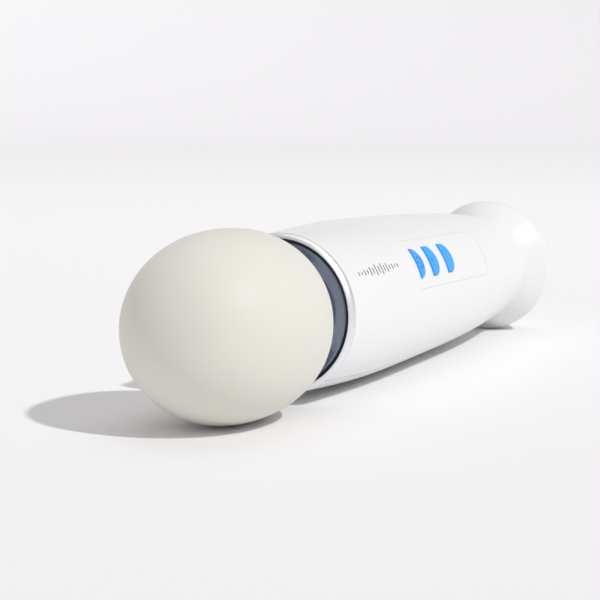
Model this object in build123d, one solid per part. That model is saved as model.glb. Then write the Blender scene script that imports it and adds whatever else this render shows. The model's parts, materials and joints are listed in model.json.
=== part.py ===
from build123d import *
import math
import os

# Handheld cordless wand massager, in millimetres.
#
# Every piece is drawn in the wand's own frame: X runs along the wand from the centre of
# the head to the foot, Z points out of the button panel, and Y makes it right-handed.
# rest_place() then lays the wand down on its side, on the head and the rim of the foot.

# ---- driving dimensions -------------------------------------------------------------

# Head
HEAD_RADIUS = 26.0
HEAD_FRONT = 32.5            # head centre to the nose
HEAD_REAR = 29.95            # head centre to the back of the full egg shape
HEAD_FRONT_POWER = 2.2       # 2 is an ellipse, more is fuller
HEAD_REAR_POWER = 2.42
HEAD_END = 28.2              # the cover stops here, at the neck
COVER_WALL = 3.0
CORE_WALL = 2.4
BEARING_AT = 13.0            # inner faces of the two bearings, each side of the centre
BEARING_RADIUS = 5.0
BEARING_WIDTH = 4.0

# Neck, a ball-ended boot in a socket
NECK_RADIUS = 11.0
NECK_TUBE_RADIUS = 8.8
PIVOT_AT = 46.0
BALL_RADIUS = 14.5
BALL_GAP = 0.3

# Collar
COLLAR_FRONT = 30.4
COLLAR_RADIUS = 22.8
COLLAR_INNER = 21.35
GASKET_WIDTH = 1.0
DISH_OPENING = 13.0
DISH_DEPTH = 36.3

# Handle
HANDLE_OUTLINE = [(32.6, 22.8), (66.0, 24.2), (110.0, 23.5), (165.0, 21.1), (196.5, 18.05)]
HANDLE_FRONT = HANDLE_OUTLINE[0][0]
HANDLE_END = HANDLE_OUTLINE[-1][0]
SHELL_WALL = 2.4
PARTING = 3.0                # the two shells meet this far from the axis, towards the panel
SHELL_SCREWS = [(72.0, 17.6), (178.0, 12.0)]   # along the wand, off the middle plane
SCREW_SEAT = 8.0                               # depth of the heads behind the axis

# Foot
FOOT_RADIUS = 23.6
FOOT_RIM = 205.2             # where the rim is widest
FOOT_TAPER_FROM = 208.0
FOOT_END = 219.5
FOOT_FACE_RADIUS = 18.6
FOOT_HOLLOW = [(HANDLE_END + 2.5, 13.8), (206.0, 20.6), (212.0, 19.2), (216.3, 16.8)]
SPIGOT_LENGTH = 6.5
SPIGOT_RADIUS = 15.4
INLET_RADIUS = 4.2
INLET_BORE = 1.8
INLET_BORE_LENGTH = 10.0

# Button panel and keys
PANEL_FROM = 76.0
PANEL_TO = 144.0
PANEL_HALF_WIDTH = 8.0
PANEL_CORNER = 3.0
PANEL_DEPTH = 1.1
PANEL_SET_IN = 0.12
PANEL_GAP = 0.15
KEY_HALF_WIDTH = 4.75
KEY_PROUD = 0.35
KEY_GAP = 0.25
# name: where the flat edge is, how long the straight sides are, how far the arc bulges
KEYS = {
    "power": (80.7, 0.0, 5.0),
    "mode": (91.5, 3.3, 3.5),
    "speed": (105.2, 3.4, 3.6),
}
FLANGE_BOTTOM = 19.3
FLANGE_TOP = 20.0
SWITCH_BOARD_TOP = 16.2

# Motor
MOTOR_RADIUS = 12.2
MOTOR_FROM = 62.2
MOTOR_TO = 92.0
SHAFT_RADIUS = 2.5
MOTOR_SHAFT_RADIUS = 1.5
RUNNING_GAP = 0.05

# Battery and board: these hang straight below and above the axis as the wand lies
CELL_RADIUS = 9.2
CELL_FROM = 99.0
CELL_LENGTH = 65.0
CELL_DROP = 7.5
BOARD_UNDERSIDE = 5.0
BOARD_THICK = 1.6

# How the wand lies
ROLL = 62.0                  # the panel is turned this far from straight up, towards -Y
TILT = math.degrees(math.asin((HEAD_RADIUS - FOOT_RADIUS) / FOOT_RIM))

FAR = 400.0                  # longer than anything in the wand


# ---- shapes used again and again ----------------------------------------------------

def disc(start, end, radius, y=0.0, z=0.0):
    """A round bar along the wand from start to end."""
    bar = Cylinder(radius, end - start, align=(Align.CENTER, Align.CENTER, Align.MIN))
    return Pos(start, y, z) * Rot(0, 90, 0) * bar


def tube(start, end, outer, inner, y=0.0, z=0.0):
    return disc(start, end, outer, y, z) - disc(start - 1, end + 1, inner, y, z)


def post(x, y, bottom, top, radius):
    """A round bar square to the parting plane."""
    bar = Cylinder(radius, top - bottom, align=(Align.CENTER, Align.CENTER, Align.MIN))
    return Pos(x, y, bottom) * bar


def block(x_range, y_range, z_range):
    low = [r[0] for r in (x_range, y_range, z_range)]
    size = [r[1] - r[0] for r in (x_range, y_range, z_range)]
    return Pos(*low) * Box(*size, align=(Align.MIN, Align.MIN, Align.MIN))


def rod(start, end, radius):
    """A straight round lead between two points."""
    run = Vector(*end) - Vector(*start)
    along = Plane(origin=start, z_dir=run)
    bar = Cylinder(radius, run.length, align=(Align.CENTER, Align.CENTER, Align.MIN))
    return along.location * bar


def turned(*edges):
    """A solid of revolution about the wand's axis; the outline is in X (along) and Y (radius)."""
    return revolve(make_face(Wire(list(edges))), Axis.X)


def turned_points(points):
    return turned(*Polyline(*points, close=True).edges())


def panel_side():
    """All space on the panel's side of the parting plane."""
    return block((-FAR, FAR), (-FAR, FAR), (PARTING, FAR))


def slab(start, end):
    return block((start, end), (-FAR, FAR), (-FAR, FAR))


def joined(pieces):
    """Fuses solids that touch."""
    first, *others = pieces
    return first.fuse(*others)


def group(pieces):
    """Keeps several separate solids together in one node."""
    return Compound([solid for piece in pieces for solid in piece.solids()])


def lying_level(piece):
    """Turns a piece drawn level, with Z straight up as the wand lies, into the wand's frame."""
    return Rot(-ROLL, 0, 0) * piece


# ---- head ---------------------------------------------------------------------------

def egg(shrink):
    """The head's egg shape, made smaller all round by shrink."""
    radius = HEAD_RADIUS - shrink
    steps = 7
    ends = ((-1, HEAD_FRONT - shrink, HEAD_FRONT_POWER), (1, HEAD_REAR - shrink, HEAD_REAR_POWER))
    points = []
    for side, length, power in ends:
        half = []
        for i in range(steps + 1):
            angle = math.pi / 2 * i / steps
            along = side * length * max(math.cos(angle), 0.0) ** (2 / power)
            half.append((along, radius * math.sin(angle) ** (2 / power)))
        points += half if side < 0 else half[-2::-1]
    outline = Spline(*points, tangents=[(0, 1), (0, -1)])
    return turned(outline, Line(points[-1], points[0]))


def head_cover():
    cover = egg(0) - egg(COVER_WALL) - disc(0, FAR, NECK_TUBE_RADIUS + 0.1)
    return cover - slab(HEAD_END, FAR)


CORE_GAP = 0.1
CORE_BOSS_RADIUS = 17.0
CORE_BOSS_LENGTH = 10.0
CORE_SCREW_ANGLES = (90, 210, 330)


def core_shell():
    return egg(COVER_WALL + CORE_GAP) - egg(COVER_WALL + CORE_GAP + CORE_WALL)


def core_bosses(start, end, radius):
    bosses = []
    for angle in CORE_SCREW_ANGLES:
        y = CORE_BOSS_RADIUS * math.cos(math.radians(angle))
        z = CORE_BOSS_RADIUS * math.sin(math.radians(angle))
        bosses.append(disc(start, end, radius, y, z))
    return bosses


def bearing_wall(start, end):
    """A wall across the core that holds a bearing."""
    return disc(start, end, HEAD_RADIUS) & egg(COVER_WALL + CORE_GAP + CORE_WALL / 2)


def head_core_front():
    inside = egg(COVER_WALL + CORE_GAP + CORE_WALL / 2)
    pocket_end = -BEARING_AT - BEARING_WIDTH
    half = core_shell() - slab(0, FAR)
    half += bearing_wall(pocket_end - 1.5, -BEARING_AT)
    for boss in core_bosses(-CORE_BOSS_LENGTH, 0, 2.8):
        half += boss & inside
    half -= disc(pocket_end, 0, BEARING_RADIUS)
    half -= disc(pocket_end - 3, 0, SHAFT_RADIUS + 0.5)
    for hole in core_bosses(-CORE_BOSS_LENGTH + 1, 1, 1.15):
        half -= hole
    return half


def head_core_rear():
    inside = egg(COVER_WALL + CORE_GAP + CORE_WALL / 2)
    pocket_end = BEARING_AT + BEARING_WIDTH
    half = core_shell() - slab(-FAR, 0)
    half += bearing_wall(BEARING_AT, pocket_end + 1.5)
    half += disc(pocket_end, PIVOT_AT - 10, NECK_TUBE_RADIUS)
    for boss in core_bosses(0, CORE_BOSS_LENGTH, 2.8):
        half += boss & inside
    half -= disc(0, pocket_end, BEARING_RADIUS)
    half -= disc(0, FAR, SHAFT_RADIUS + 0.5)
    half -= disc(pocket_end + 1.5, FAR, NECK_TUBE_RADIUS - 2.2)
    for hole in core_bosses(-1, CORE_BOSS_LENGTH + 1, 1.25):
        half -= hole
    return half


def core_screws():
    """Three screws that pull the two core shells together."""
    shanks = core_bosses(-CORE_BOSS_LENGTH + 1.5, CORE_BOSS_LENGTH, 1.1)
    heads = core_bosses(CORE_BOSS_LENGTH, CORE_BOSS_LENGTH + 1.5, 1.9)
    return group([joined(pair) for pair in zip(shanks, heads)])


def bearing(start):
    """A small ball bearing, drawn as its outer and inner race with the shield between."""
    race = tube(start, start + BEARING_WIDTH, BEARING_RADIUS, SHAFT_RADIUS + RUNNING_GAP)
    for face in (start - 0.7, start + BEARING_WIDTH - 0.3):
        race -= tube(face, face + 1, 4.3, 3.2)
    return race


WEIGHT_HALF = 7.0
WEIGHT_RADIUS = 14.0
SHAFT_FROM = -18.0
SHAFT_TO = PIVOT_AT - 3.0
CLIP_AT = BEARING_AT + BEARING_WIDTH + 1.8
CLIP_THICK = 0.8


def drive_shaft():
    groove = tube(CLIP_AT - 0.05, CLIP_AT + CLIP_THICK + 0.05, SHAFT_RADIUS + 1, SHAFT_RADIUS - 0.4)
    return disc(SHAFT_FROM, SHAFT_TO, SHAFT_RADIUS) - groove


def eccentric_weight():
    """A heavy half-disc on a hub, hanging below the shaft."""
    lower = block((-FAR, FAR), (-FAR, FAR), (-FAR, 0))
    hub = disc(-WEIGHT_HALF, WEIGHT_HALF, 5.5)
    sector = disc(-WEIGHT_HALF, WEIGHT_HALF, WEIGHT_RADIUS) & lower
    weight = hub + sector - disc(-FAR, FAR, SHAFT_RADIUS + 0.01)
    return lying_level(weight - post(0, 0, 0, 10, 1.3))


def weight_screw():
    return lying_level(post(0, 0, SHAFT_RADIUS + 0.05, 5.4, 1.25))


def shaft_clip():
    clip = tube(CLIP_AT, CLIP_AT + CLIP_THICK, 4.0, SHAFT_RADIUS - 0.35)
    return clip - block((CLIP_AT - 1, CLIP_AT + 2), (-1.4, 1.4), (0, 10))


# ---- neck ---------------------------------------------------------------------------

def ball(radius):
    return Pos(PIVOT_AT, 0, 0) * Sphere(radius)


def neck_boot():
    """Rubber neck: a tube behind the head that ends in a hollow ball."""
    boot = disc(HEAD_END + 0.05, PIVOT_AT, NECK_RADIUS) + (ball(BALL_RADIUS) & slab(36, PIVOT_AT + 7))
    boot -= disc(0, PIVOT_AT - 9.5, NECK_TUBE_RADIUS + 0.1)
    return boot - disc(0, FAR, NECK_TUBE_RADIUS - 0.6)


def neck_liner():
    """Loose soft ring in the ball, between the boot and the coupling."""
    return tube(PIVOT_AT - 4, PIVOT_AT + 4, 7.2, 6.0)


SOCKET_FROM = 40.5
SOCKET_TO = 52.0
SOCKET_RADIUS = 20.5


def neck_socket():
    seat = BALL_RADIUS + BALL_GAP
    return disc(SOCKET_FROM, SOCKET_TO, SOCKET_RADIUS) - ball(seat) - disc(PIVOT_AT, FAR, seat)


def neck_retainer():
    return tube(55, 57, 20.6, 9.0)


# ---- collar -------------------------------------------------------------------------

def collar_ring():
    inner_front = (COLLAR_FRONT + 0.6, COLLAR_INNER)
    lip = (COLLAR_FRONT, COLLAR_RADIUS - 1.4)
    rim = (HANDLE_FRONT, COLLAR_RADIUS)
    back = (HANDLE_FRONT, COLLAR_INNER)
    crown = ThreePointArc(rim, (COLLAR_FRONT + 1.15, COLLAR_RADIUS - 0.42), lip)
    return turned(crown, Line(lip, inner_front), Line(inner_front, back), Line(back, rim))


def collar_gasket():
    return tube(COLLAR_FRONT + 0.9, HANDLE_FRONT, COLLAR_INNER, COLLAR_INNER - GASKET_WIDTH)


def collar_dish():
    """Mirror dish round the neck: a hollow curve, with a skirt that fits in the handle."""
    rim = COLLAR_INNER - GASKET_WIDTH
    wall = 1.4
    front = (COLLAR_FRONT + 0.9, rim)
    throat = (DISH_DEPTH, DISH_OPENING)
    bowl = ThreePointArc(front, (COLLAR_FRONT + 3.2, rim - 2.8), throat)
    outline = Polyline(
        throat,
        (DISH_DEPTH + 2.5, DISH_OPENING),
        (DISH_DEPTH + 2.5, DISH_OPENING + wall),
        (DISH_DEPTH, DISH_OPENING + wall + 0.6),
        (COLLAR_FRONT + 4.6, rim - 2 * wall),
        (COLLAR_FRONT + 4.6, rim - wall),
        (SOCKET_FROM - 0.1, rim - wall),
        (SOCKET_FROM - 0.1, rim),
        front,
    )
    return turned(bowl, *outline.edges())


# ---- handle -------------------------------------------------------------------------

def handle_form(grow=0.0):
    """The handle's long waisted form, larger all round by grow."""
    points = [(x, r + grow) for x, r in HANDLE_OUTLINE]
    start, end = (HANDLE_FRONT, 0), (HANDLE_END, 0)
    return turned(Spline(*points), Line(points[-1], end), Line(end, start), Line(start, points[0]))


def handle_hollow(grow=0.0):
    """The straight-sided space inside the shells."""
    points = [(x, r - SHELL_WALL + grow) for x, r in HANDLE_OUTLINE]
    return turned_points([(HANDLE_FRONT, 0), *points, (HANDLE_END, 0)])


def panel_prism(inset):
    """Rounded oblong, cut straight through the panel side."""
    length = PANEL_TO - PANEL_FROM - 2 * inset
    width = 2 * (PANEL_HALF_WIDTH - inset)
    outline = RectangleRounded(length, width, PANEL_CORNER - inset)
    return Pos((PANEL_FROM + PANEL_TO) / 2, 0, 10) * extrude(outline, 20)


def key_prism(flat, side, bulge, grow, bottom, top):
    """Flat edge towards the head, two straight sides and a curved edge towards the foot."""
    half = KEY_HALF_WIDTH + grow
    turn = flat + side + grow * (1 if side else 0)
    near = [(flat - grow, half), (flat - grow, -half)]
    edges = [Line(*near)]
    if turn > flat - grow:
        edges += [Line(near[1], (turn, -half)), Line((turn, half), near[0])]
    arc = ThreePointArc((turn, -half), (flat + side + bulge + grow, 0), (turn, half))
    outline = make_face(Wire(edges + [arc]))
    return Pos(0, 0, bottom) * extrude(outline, top - bottom)


def key_middle(flat, side, bulge):
    return flat + (side + bulge) / 2


def key_holes(grow):
    return [key_prism(*size, grow, 10, 40) for size in KEYS.values()]


def shell_tube():
    return handle_form() - handle_hollow()


def screw_posts(bottom, top, radius):
    return [post(x, y * side, bottom, top, radius) for x, y in SHELL_SCREWS for side in (-1, 1)]


BOARD_PEGS = [(x, y) for x in (78.0, 116.0) for y in (-5.6, 5.6)]


def front_shell():
    inside = handle_hollow(SHELL_WALL / 2)
    shell = shell_tube() & panel_side()
    for boss in screw_posts(0, 30, 2.8):
        shell += boss & inside
    for x, y in BOARD_PEGS:
        shell += post(x, y, SWITCH_BOARD_TOP, 30, 1.2) & inside
    for pilot in screw_posts(-1, 8, 1.2):
        shell -= pilot
    shell -= panel_prism(0) & (handle_form(5) - handle_form(-PANEL_DEPTH - 0.05))
    for hole in key_holes(KEY_GAP + 0.05):
        shell -= hole
    return shell


def back_shell():
    inside = handle_hollow(SHELL_WALL / 2)
    shell = shell_tube() - panel_side()
    for boss in screw_posts(-30, 0, 2.9):
        shell += boss & inside
    for hole in screw_posts(-20, 1, 1.35) + screw_posts(-30, -SCREW_SEAT, 2.3):
        shell -= hole
    return shell


def shell_screws():
    """Four cross-head screws that close the handle from the back."""
    screws = []
    head_top = -SCREW_SEAT - 1.7
    pairs = zip(screw_posts(-SCREW_SEAT, 7, 1.15), screw_posts(head_top, -SCREW_SEAT, 2.0))
    for number, pair in enumerate(pairs):
        x, y = SHELL_SCREWS[number // 2]
        middle = Pos(x, y * (1 if number % 2 else -1), head_top)
        cross = middle * (Box(2.4, 0.5, 1.6) + Box(0.5, 2.4, 1.6))
        screws.append(joined(pair) - cross)
    return group(screws)


# ---- foot ---------------------------------------------------------------------------

def base_cap():
    """Flared foot with a flat end face; a spigot goes into the handle."""
    waist = (HANDLE_END, HANDLE_OUTLINE[-1][1])
    outline = FilletPolyline(
        waist,
        (FOOT_RIM - 0.6, FOOT_RADIUS + 0.04),
        (FOOT_TAPER_FROM, FOOT_RADIUS - 0.1),
        (FOOT_END, FOOT_FACE_RADIUS),
        (FOOT_END, 0),
        radius=[1.5, 6.0, 2.5],
    )
    start, end = (HANDLE_END, 0), (FOOT_END, 0)
    cap = turned(*outline.edges(), Line(end, start), Line(start, waist))
    mouth_radius, floor_at = FOOT_HOLLOW[0][1], FOOT_HOLLOW[-1][0]
    cap += disc(HANDLE_END - SPIGOT_LENGTH, HANDLE_END, SPIGOT_RADIUS)
    cap -= disc(0, HANDLE_END, mouth_radius)
    cap -= turned_points([(HANDLE_END - 1, 0), (HANDLE_END - 1, mouth_radius), *FOOT_HOLLOW, (floor_at, 0)])
    return cap - disc(200, FAR, INLET_RADIUS + 0.05)


def charge_inlet():
    """Round charging jack, open at the middle of the foot's end face."""
    jack = disc(FOOT_RIM, FOOT_END, INLET_RADIUS) + disc(FOOT_RIM - 1.5, FOOT_RIM, INLET_RADIUS - 0.8)
    return jack - disc(FOOT_END - INLET_BORE_LENGTH, FAR, INLET_BORE)


def inlet_nut():
    thick = 2.6
    prism = extrude(RegularPolygon(6.5, 6), thick)
    hexagon = Pos(FOOT_HOLLOW[-1][0] - 0.1 - thick, 0, 0) * Rot(0, 90, 0) * prism
    return hexagon - disc(200, FAR, INLET_RADIUS + 0.05)


# ---- panel, keys and switches -------------------------------------------------------

def button_panel():
    skin = handle_form(-PANEL_SET_IN) - handle_form(-PANEL_DEPTH)
    panel = skin & panel_prism(PANEL_GAP)
    for hole in key_holes(KEY_GAP):
        panel -= hole
    return panel


def key_cap(size):
    cap = key_prism(*size, 0, FLANGE_TOP, 40) & handle_form(KEY_PROUD)
    return cap + key_prism(*size, 0.7, FLANGE_BOTTOM, FLANGE_TOP)


def plunger(size):
    return post(key_middle(*size), 0, SWITCH_BOARD_TOP + 1.4, FLANGE_BOTTOM, 1.6)


def switch_bodies():
    switches = []
    for size in KEYS.values():
        x = key_middle(*size)
        case = block((x - 3, x + 3), (-3, 3), (SWITCH_BOARD_TOP, SWITCH_BOARD_TOP + 2.4))
        switches.append(case - post(x, 0, SWITCH_BOARD_TOP + 0.7, 30, 1.8))
    return group(switches)


def button_board():
    return block((76, 118), (-7, 7), (SWITCH_BOARD_TOP - 1, SWITCH_BOARD_TOP))


# ---- motor --------------------------------------------------------------------------

MOUNT_FACE = 59.7
ROTOR_SIDES = (70.0, 85.0)
MOTOR_SCREW_OFFSET = 8.0


def motor_can():
    can = disc(MOTOR_FROM, MOTOR_TO - 2, MOTOR_RADIUS) - disc(MOTOR_FROM + 1, MOTOR_TO, MOTOR_RADIUS - 1)
    can += tube(MOTOR_FROM - 1.5, MOTOR_FROM, 3.5, MOTOR_SHAFT_RADIUS + RUNNING_GAP)
    can -= disc(MOTOR_FROM - 2, MOTOR_FROM + 2, MOTOR_SHAFT_RADIUS + RUNNING_GAP)
    for side in (-1, 1):
        can -= disc(MOTOR_FROM - 1, MOTOR_FROM + 2, 1.25, 0, MOTOR_SCREW_OFFSET * side)
    return can


def motor_endcap():
    cap = disc(MOTOR_TO - 2, MOTOR_TO, MOTOR_RADIUS) + disc(MOTOR_TO, MOTOR_TO + 1.5, 3.5)
    return cap - disc(MOTOR_TO - 3, MOTOR_TO + 1, MOTOR_SHAFT_RADIUS + RUNNING_GAP)


def motor_magnets():
    """Two curved magnets inside the can."""
    ring = tube(68, 87, MOTOR_RADIUS - 1.05, MOTOR_RADIUS - 3)
    return group([ring & block((60, 100), (-FAR, FAR), z) for z in ((3, FAR), (-FAR, -3))])


def rotor_core():
    """Three-pole iron core with its windings."""
    core = disc(*ROTOR_SIDES, 8.4) - disc(60, 100, MOTOR_SHAFT_RADIUS + 0.01)
    for angle in (0, 120, 240):
        core -= Rot(angle, 0, 0) * disc(60, 100, 1.2, 0, 8.0)
    return core


def commutator():
    return tube(ROTOR_SIDES[1], MOTOR_TO - 3, 3.0, MOTOR_SHAFT_RADIUS + 0.01)


def motor_shaft():
    return disc(PIVOT_AT + 3, MOTOR_TO + 0.5, MOTOR_SHAFT_RADIUS)


def coupling_hose():
    """Tough hose, tight on the motor shaft and loose round the end of the drive shaft."""
    hose = disc(PIVOT_AT - 6, PIVOT_AT + 11, 5.0)
    hose -= disc(0, PIVOT_AT + 1.5, SHAFT_RADIUS + 0.95)
    return hose - disc(0, FAR, MOTOR_SHAFT_RADIUS + 0.01)


def motor_mount():
    mount = tube(MOUNT_FACE, MOTOR_FROM - 0.1, 19.6, 5.6)
    mount += tube(MOTOR_FROM - 0.1, MOTOR_TO - 3, 14.6, 13.4)
    for side in (-1, 1):
        mount -= disc(50, 65, 1.3, 0, MOTOR_SCREW_OFFSET * side)
    return mount


def motor_grommets():
    """Two soft rings that keep the motor's shaking off the handle."""
    return group([tube(start, start + 4, 13.35, MOTOR_RADIUS + 0.05) for start in (66, 82)])


def motor_screws():
    screws = []
    for side in (-1, 1):
        z = MOTOR_SCREW_OFFSET * side
        shank = disc(MOUNT_FACE, MOTOR_FROM + 1, 1.2, 0, z)
        screws.append(shank + disc(MOUNT_FACE - 1.4, MOUNT_FACE, 2.2, 0, z))
    return group(screws)


# ---- battery, board and leads, all drawn level --------------------------------------

CELL_TO = CELL_FROM + CELL_LENGTH
CONTACT_THICK = 0.6
BOARD_TOP = BOARD_UNDERSIDE + BOARD_THICK
CRADLE_WALL = 1.5
LEAD_HEIGHT = BOARD_TOP + 1.0
MOTOR_TABS = (-5, 5)
TAB_LENGTH = 2.0


def battery_cell():
    can = disc(CELL_FROM + 1, CELL_TO, CELL_RADIUS, 0, -CELL_DROP)
    return lying_level(can + disc(CELL_FROM, CELL_FROM + 1, 3.0, 0, -CELL_DROP))


def battery_contacts():
    """A spring plate at each end of the cell."""
    plates = []
    for start in (CELL_FROM - CONTACT_THICK, CELL_TO):
        plates.append(block((start, start + CONTACT_THICK), (-4, 4), (-CELL_DROP - 4, 4.4)))
    return lying_level(group(plates))


def battery_cradle():
    front_wall = CELL_FROM - CONTACT_THICK - 0.1 - CRADLE_WALL
    rear_wall = CELL_TO + CONTACT_THICK + 0.1
    below = block((-FAR, FAR), (-FAR, FAR), (-FAR, -CELL_DROP + 2))
    cradle = tube(front_wall, rear_wall + CRADLE_WALL, 10.7, 9.4, 0, -CELL_DROP) & below
    for start in (front_wall, rear_wall):
        wall = (start, start + CRADLE_WALL)
        cradle += block(wall, (-9, 9), (-CELL_DROP, BOARD_UNDERSIDE))
        cradle += disc(*wall, 10.7, 0, -CELL_DROP) & below
    return lying_level(cradle)


def main_board():
    return lying_level(block((96.5, 167.0), (-12, 12), (BOARD_UNDERSIDE, BOARD_TOP)))


def board_components():
    """Charging and speed-control parts soldered on the board."""
    layout = {(108, 112): (-7, 7), (118, 125): (-4, 4), (128, 136): (-9, -2), (128, 134): (3, 9),
              (140, 145): (-3, 3), (149, 155): (-8, 8), (158, 160): (-4, 4)}
    height = {112: 2.4, 160: 2.0}
    parts = [block(x, y, (BOARD_TOP, BOARD_TOP + height.get(x[1], 1.4))) for x, y in layout.items()]
    parts += [post(x, 7.6, BOARD_TOP, BOARD_TOP + 5, 2.4) for x in (118, 142)]
    return lying_level(group(parts))


def motor_leads():
    """Two leads from the motor's tabs to the first part on the board."""
    start, end = MOTOR_TO + TAB_LENGTH, 108
    leads = [rod((start, y, LEAD_HEIGHT), (end, y, LEAD_HEIGHT), 0.7) for y in MOTOR_TABS]
    return lying_level(group(leads))


def motor_terminals():
    along = (MOTOR_TO, MOTOR_TO + TAB_LENGTH)
    upright = (LEAD_HEIGHT - 0.8, LEAD_HEIGHT + 0.8)
    return lying_level(group([block(along, (y - 1, y + 1), upright) for y in MOTOR_TABS]))


def battery_leads():
    height = 3.6
    runs = ((CELL_FROM, CELL_FROM + 6), (CELL_TO - 6, CELL_TO))
    return lying_level(group([rod((a, 2, height), (b, 2, height), 0.6) for a, b in runs]))


def inlet_leads():
    """Two leads from the back of the charging jack to the last part on the board."""
    start, end = FOOT_RIM - 1.6, 160.2
    runs = [rod((start, y, 2.4), (end, y, LEAD_HEIGHT + 0.8), 0.6) for y in (-2, 2)]
    return lying_level(group(runs))


# ---- the whole wand -----------------------------------------------------------------

def all_pieces():
    pieces = {
        "head_cover": head_cover(),
        "head_core_front": head_core_front(),
        "head_core_rear": head_core_rear(),
        "core_screws": core_screws(),
        "front_bearing": bearing(-BEARING_AT - BEARING_WIDTH),
        "rear_bearing": bearing(BEARING_AT),
        "drive_shaft": drive_shaft(),
        "eccentric_weight": eccentric_weight(),
        "weight_screw": weight_screw(),
        "shaft_clip": shaft_clip(),
        "neck_boot": neck_boot(),
        "neck_liner": neck_liner(),
        "neck_socket": neck_socket(),
        "neck_retainer": neck_retainer(),
        "collar_ring": collar_ring(),
        "collar_gasket": collar_gasket(),
        "collar_dish": collar_dish(),
        "front_shell": front_shell(),
        "back_shell": back_shell(),
        "shell_screws": shell_screws(),
        "base_cap": base_cap(),
        "charge_inlet": charge_inlet(),
        "inlet_nut": inlet_nut(),
        "inlet_leads": inlet_leads(),
        "button_panel": button_panel(),
        "button_board": button_board(),
        "switch_bodies": switch_bodies(),
        "motor_mount": motor_mount(),
        "motor_screws": motor_screws(),
        "motor_grommets": motor_grommets(),
        "motor_can": motor_can(),
        "motor_endcap": motor_endcap(),
        "motor_terminals": motor_terminals(),
        "motor_magnets": motor_magnets(),
        "motor_shaft": motor_shaft(),
        "rotor_core": rotor_core(),
        "commutator": commutator(),
        "coupling_hose": coupling_hose(),
        "motor_leads": motor_leads(),
        "battery_cell": battery_cell(),
        "battery_contacts": battery_contacts(),
        "battery_cradle": battery_cradle(),
        "battery_leads": battery_leads(),
        "main_board": main_board(),
        "board_components": board_components(),
    }
    for name, size in KEYS.items():
        pieces[name + "_button"] = key_cap(size)
        pieces[name + "_plunger"] = plunger(size)
    return pieces


def rest_place(outer):
    """Lays the wand down: its lowest points at Z = 0, and the origin under its middle."""
    lying = Rot(0, TILT, 0) * Rot(ROLL, 0, 0)
    box = Compound([lying * piece for piece in outer]).bounding_box()
    middle = box.center()
    return Pos(-middle.X, -middle.Y, -box.min.Z) * lying


PIECES = all_pieces()
REST = rest_place([PIECES[name] for name in ("head_cover", "front_shell", "back_shell", "base_cap")])

os.makedirs("parts", exist_ok=True)
for name, piece in PIECES.items():
    export_step(REST * piece, f"parts/{name}.step")
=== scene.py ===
import json
import math

import bmesh
import bpy
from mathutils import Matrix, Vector


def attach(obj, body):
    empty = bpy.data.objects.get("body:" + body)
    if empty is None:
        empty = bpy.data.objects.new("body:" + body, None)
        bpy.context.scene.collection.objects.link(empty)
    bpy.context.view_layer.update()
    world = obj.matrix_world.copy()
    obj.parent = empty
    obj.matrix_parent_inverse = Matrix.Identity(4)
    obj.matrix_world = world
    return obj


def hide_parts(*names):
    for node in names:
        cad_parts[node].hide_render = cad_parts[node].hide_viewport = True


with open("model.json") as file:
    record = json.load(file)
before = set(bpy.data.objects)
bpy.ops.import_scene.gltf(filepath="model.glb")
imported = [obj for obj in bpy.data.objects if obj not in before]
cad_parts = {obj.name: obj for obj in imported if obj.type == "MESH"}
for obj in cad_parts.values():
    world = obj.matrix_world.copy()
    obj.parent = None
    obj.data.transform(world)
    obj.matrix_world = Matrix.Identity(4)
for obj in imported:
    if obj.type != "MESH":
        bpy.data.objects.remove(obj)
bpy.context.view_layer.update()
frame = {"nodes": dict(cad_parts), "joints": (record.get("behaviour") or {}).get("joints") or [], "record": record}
MM = 0.001

# A cordless wand massager that lies on a pale studio floor, on its head and the rim of its foot.


# ---- sizes, in millimetres -------------------------------------------------------------
# The outer shapes are the CAD model's. Its walls and gaps are a little thicker and wider
# than the ones here, which only have to look right.

# Head and neck
HEAD_RADIUS, HEAD_FRONT, HEAD_REAR = 26.0, 32.5, 29.95
HEAD_FRONT_POWER, HEAD_REAR_POWER = 2.2, 2.42      # 2 is an ellipse, more is fuller
HEAD_END = 28.2                                    # the cover stops here, at the neck
COVER_WALL, COVER_LIP = 3.0, 1.2
NECK_RADIUS, NECK_BORE = 11.0, 8.9
NECK_GROOVES, NECK_GROOVE_WIDTH, NECK_GROOVE_DEPTH = (30.9, 33.1, 35.3), 1.1, 0.8
NECK_MEETS_BALL = 36.55
BALL_RADIUS, BALL_BORE = 14.5, 8.2

# Collar
COLLAR_FRONT, COLLAR_RADIUS, COLLAR_INNER = 30.4, 22.8, 21.35
GASKET_WIDTH = 1.0
DISH_OPENING, DISH_DEPTH, DISH_WALL, DISH_END = 13.0, 36.3, 1.4, 40.3

# Handle
HANDLE_OUTLINE = [(32.6, 22.8), (66.0, 24.2), (110.0, 23.5), (165.0, 21.1), (196.5, 18.05)]
HANDLE_FRONT, HANDLE_END = HANDLE_OUTLINE[0][0], HANDLE_OUTLINE[-1][0]
SHELL_FRONT, SHELL_END = HANDLE_FRONT + 0.04, HANDLE_END - 0.01        # hairlines at collar and foot
SHELL_WALL = 2.0
PARTING = 3.0                    # the shells meet this far from the axis, towards the panel
SEAM = 0.3                       # each shell stops this short of the parting plane
GROOVE = 0.2                     # how far its outer edge is rounded off there
EDGE_ROUND = 0.06                # and every other edge of shells and panel
SHELL_SCREWS = [(72.0, 17.6), (178.0, 12.0)]       # along the wand, off the middle plane
SCREW_WELL_RADIUS, SCREW_HOLE_RADIUS, SCREW_SEAT = 2.3, 1.35, 8.0
HOLE_MARGIN = 6.0                # from the panel's end or a screw to the edge of its patch

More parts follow.
